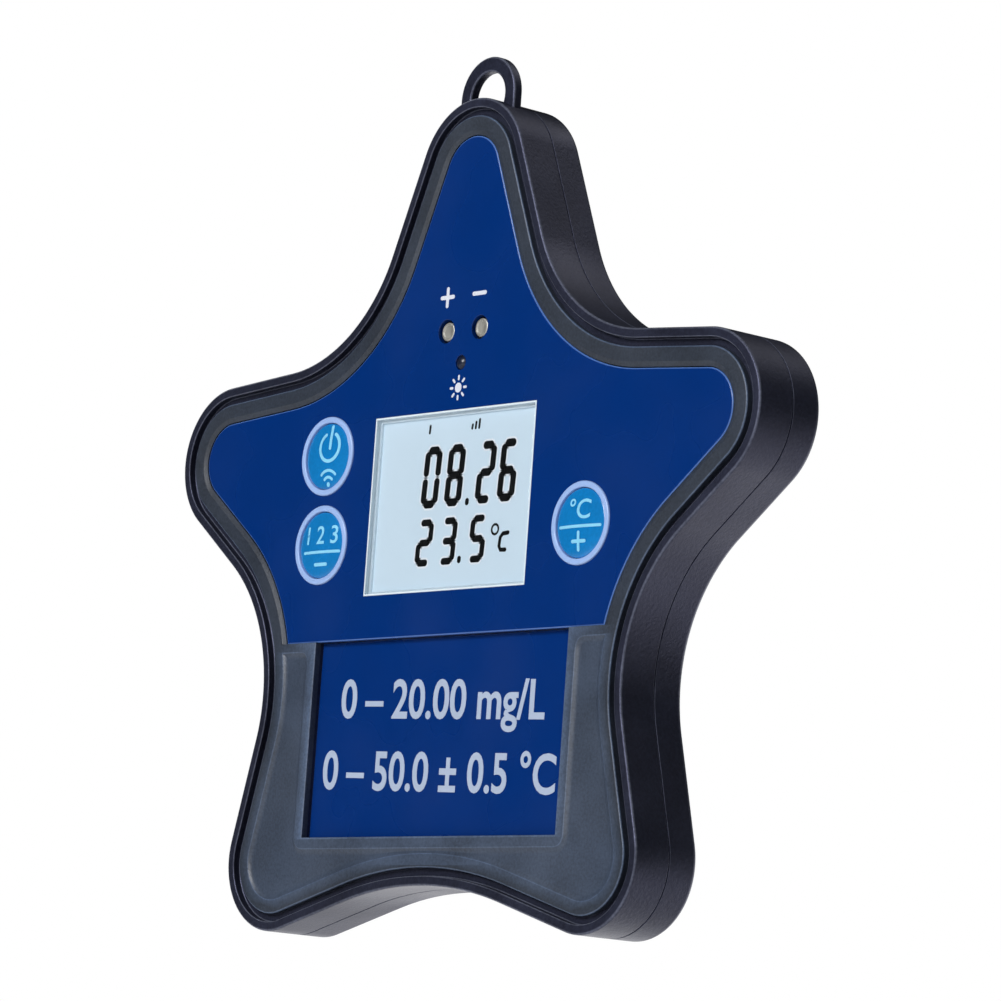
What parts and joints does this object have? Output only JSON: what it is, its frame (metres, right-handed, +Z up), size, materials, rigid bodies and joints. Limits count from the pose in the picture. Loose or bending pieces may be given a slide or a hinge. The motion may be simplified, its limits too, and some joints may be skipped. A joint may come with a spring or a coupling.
{
  "type": "floating dissolved oxygen meter",
  "caption": "Star-shaped floating water tester with a blue face, display window, round keys, hanging loop and a caged oxygen sensor on its back.",
  "frame": {"origin": "middle of the hanging loop's eye, at mid thickness of the loop", "axes": "+Z up through the top tip of the star, +X to the right seen from the front, +Y from the face to the back, along the eye's axis"},
  "size_m": [0.1506, 0.034, 0.1526],
  "materials": {
    "case_plastic": "moulded ABS, fine satin",
    "guard_plastic": "moulded ABS, satin",
    "bezel_plastic": "moulded slate-grey ABS, satin",
    "panel_blue": "printed blue polycarbonate film",
    "key_ring_plastic": "pale lavender satin",
    "key_plastic": "bright blue, domed and glossy",
    "switch_plastic": "black nylon",
    "seal_rubber": "silicone rubber",
    "gasket_foam": "white closed-cell foam",
    "foam": "black closed-cell foam",
    "clear_window": "clear hard-coated window",
    "display_glass": "liquid crystal glass, pale blue-grey",
    "light_guide": "white acrylic",
    "board_laminate": "green glass-epoxy laminate",
    "screw_steel": "stainless steel",
    "contact_steel": "polished stainless steel",
    "indicator_plastic": "smoked clear acrylic",
    "battery_foil": "laminated aluminium pouch",
    "cathode_gold": "gold-plated disc",
    "anode_silver": "silver ring",
    "membrane_film": "gas-permeable film"
  },
  "bodies": {
    "case": {"front_shell": "case_plastic", "rear_shell": "case_plastic", "case_seal": "seal_rubber", "case_screws": "screw_steel", "bezel": "bezel_plastic", "overlay_panel": "panel_blue", "label_plate": "panel_blue", "key_rings": "key_ring_plastic", "key_seals": "seal_rubber", "display_window": "clear_window", "display_gasket": "gasket_foam", "display_glass": "display_glass", "backlight": "light_guide", "contact_strip": "seal_rubber", "circuit_board": "board_laminate", "board_screws": "screw_steel", "switch_housings": "switch_plastic", "controller_chip": "switch_plastic", "radio_module": "screw_steel", "sensor_socket": "switch_plastic", "charge_contacts": "contact_steel", "indicator_lens": "indicator_plastic", "indicator_chip": "indicator_plastic", "battery": "battery_foil", "battery_pad": "foam", "sensor_body": "guard_plastic", "sensor_nut": "guard_plastic", "sensor_seal": "seal_rubber", "cathode": "cathode_gold", "anode": "anode_silver", "membrane": "membrane_film", "membrane_cap": "guard_plastic", "temperature_probe": "contact_steel", "sensor_guard": "guard_plastic"},
    "power_button": {"power_key": "key_plastic", "power_plunger": "switch_plastic"},
    "mode_button": {"mode_key": "key_plastic", "mode_plunger": "switch_plastic"},
    "temperature_button": {"temperature_key": "key_plastic", "temperature_plunger": "switch_plastic"}
  },
  "joints": [
    {"name": "power_press", "type": "slide", "parent": "case", "child": "power_button", "axis": [0, 1, 0], "range_m": [0, 0.0005], "stiffness_N_per_m": 120, "springref_m": -0.008},
    {"name": "mode_press", "type": "slide", "parent": "case", "child": "mode_button", "axis": [0, 1, 0], "range_m": [0, 0.0005], "stiffness_N_per_m": 120, "springref_m": -0.008},
    {"name": "temperature_press", "type": "slide", "parent": "case", "child": "temperature_button", "axis": [0, 1, 0], "range_m": [0, 0.0005], "stiffness_N_per_m": 120, "springref_m": -0.008}
  ]
}
